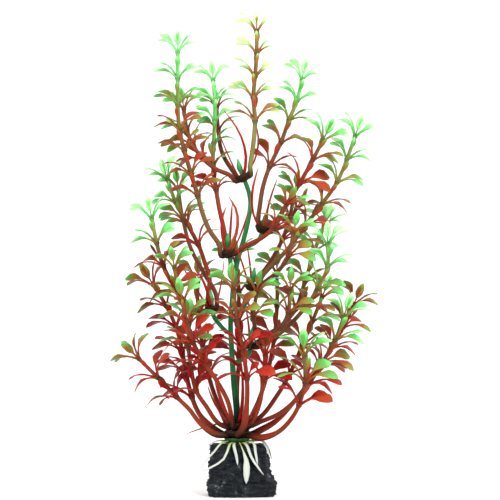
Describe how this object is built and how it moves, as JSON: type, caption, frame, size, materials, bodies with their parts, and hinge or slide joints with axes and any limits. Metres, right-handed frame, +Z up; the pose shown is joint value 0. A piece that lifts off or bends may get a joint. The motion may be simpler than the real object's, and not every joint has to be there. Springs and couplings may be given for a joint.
{
  "type": "artificial aquarium plant",
  "caption": "Moulded plastic bacopa for an aquarium: whorled leafy arms on a forked stem, with white roots over a rough stone-like base that it stands on.",
  "frame": {"origin": "centre of the base's flat underside", "axes": "+Z up along the stem, -Y towards the viewer of the picture, +X to the viewer's right"},
  "size_m": [0.1648, 0.1069, 0.2989],
  "materials": {
    "black_stone": "rough cast, matt black with grey glints",
    "white_plastic": "satin white, pale green at the centre",
    "green_plastic": "satin green",
    "brown_plastic": "satin dark brown",
    "red_arm_plastic": "satin, red going to green at the tips",
    "olive_arm_plastic": "satin, red-brown going to pale green at the tips"
  },
  "bodies": {
    "root": {"stone_base": "black_stone", "root_skirt": "white_plastic", "trunk_stem": "green_plastic", "middle_peg": "green_plastic", "left_peg": "green_plastic", "right_peg": "green_plastic", "upper_left_peg": "green_plastic", "leader_stem": "green_plastic", "upper_right_peg": "green_plastic", "foot_lower_ring": "brown_plastic", "foot_upper_ring": "brown_plastic", "middle_ring": "brown_plastic", "left_ring": "brown_plastic", "right_ring": "brown_plastic", "upper_left_ring": "brown_plastic", "upper_right_ring": "brown_plastic", "crown_ring": "brown_plastic", "crown_leader_arm": "olive_arm_plastic", "crown_left_arm": "olive_arm_plastic", "crown_back_arm": "olive_arm_plastic", "upper_right_tall_arm": "olive_arm_plastic", "upper_right_front_arm": "olive_arm_plastic", "upper_right_low_arm": "olive_arm_plastic", "upper_left_tall_arm": "olive_arm_plastic", "upper_left_back_arm": "olive_arm_plastic", "upper_left_crossing_arm": "olive_arm_plastic", "left_tall_arm": "olive_arm_plastic", "left_outer_arm": "olive_arm_plastic", "left_front_arm": "olive_arm_plastic", "left_back_arm": "olive_arm_plastic", "right_long_arm": "olive_arm_plastic", "right_front_arm": "olive_arm_plastic", "right_back_arm": "olive_arm_plastic", "middle_outer_arm": "red_arm_plastic", "middle_back_arm": "red_arm_plastic", "middle_front_arm": "red_arm_plastic", "middle_right_arm": "red_arm_plastic", "foot_left_tall_arm": "red_arm_plastic", "foot_left_low_arm": "red_arm_plastic", "foot_left_front_arm": "red_arm_plastic", "foot_left_back_arm": "red_arm_plastic", "foot_right_front_arm": "red_arm_plastic", "foot_right_tall_arm": "red_arm_plastic", "foot_right_back_arm": "red_arm_plastic", "foot_right_middle_arm": "red_arm_plastic", "foot_front_arm": "red_arm_plastic", "foot_front_right_arm": "red_arm_plastic", "foot_back_left_arm": "red_arm_plastic", "foot_back_right_arm": "red_arm_plastic", "foot_back_arm": "red_arm_plastic"}
  },
  "joints": []
}
